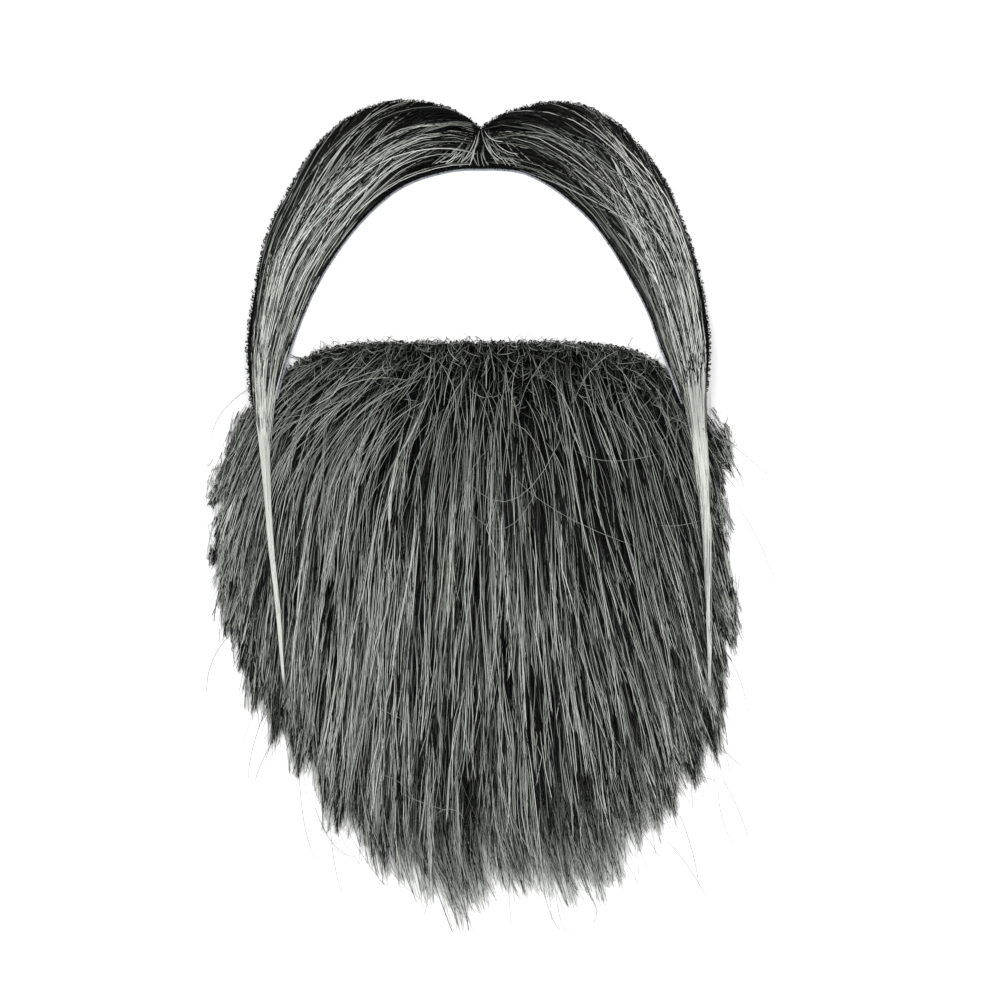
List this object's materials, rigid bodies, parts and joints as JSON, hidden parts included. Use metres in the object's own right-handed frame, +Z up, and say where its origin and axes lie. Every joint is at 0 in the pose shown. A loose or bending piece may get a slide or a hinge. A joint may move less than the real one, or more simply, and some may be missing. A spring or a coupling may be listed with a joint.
{
  "type": "fake beard with moustache",
  "caption": "Costume beard of deep long pile on a knit panel, laid flat, with a lobed moustache whose long pointed legs cross its top corners.",
  "frame": {"origin": "under the middle of the whole set, on the surface that it lies on", "axes": "+X to the right, +Y from the beard's tips to the moustache, +Z up through the hair, away from the backing"},
  "size_m": [0.1681, 0.267, 0.0215],
  "materials": {
    "beard_pile": "long synthetic pile, salt and pepper grey over a black undercoat",
    "moustache_hair": "long synthetic hair, dark at the root and near white at the tips",
    "knit_backing": "black open knit with cut loops along its edge",
    "adhesive_tape": "pale matt adhesive strip"
  },
  "bodies": {
    "root": {"beard_backing": "knit_backing", "beard_fur": "beard_pile", "moustache_backing": "knit_backing", "moustache_tape": "adhesive_tape", "moustache_hair_left": "moustache_hair", "moustache_hair_right": "moustache_hair"}
  },
  "joints": []
}
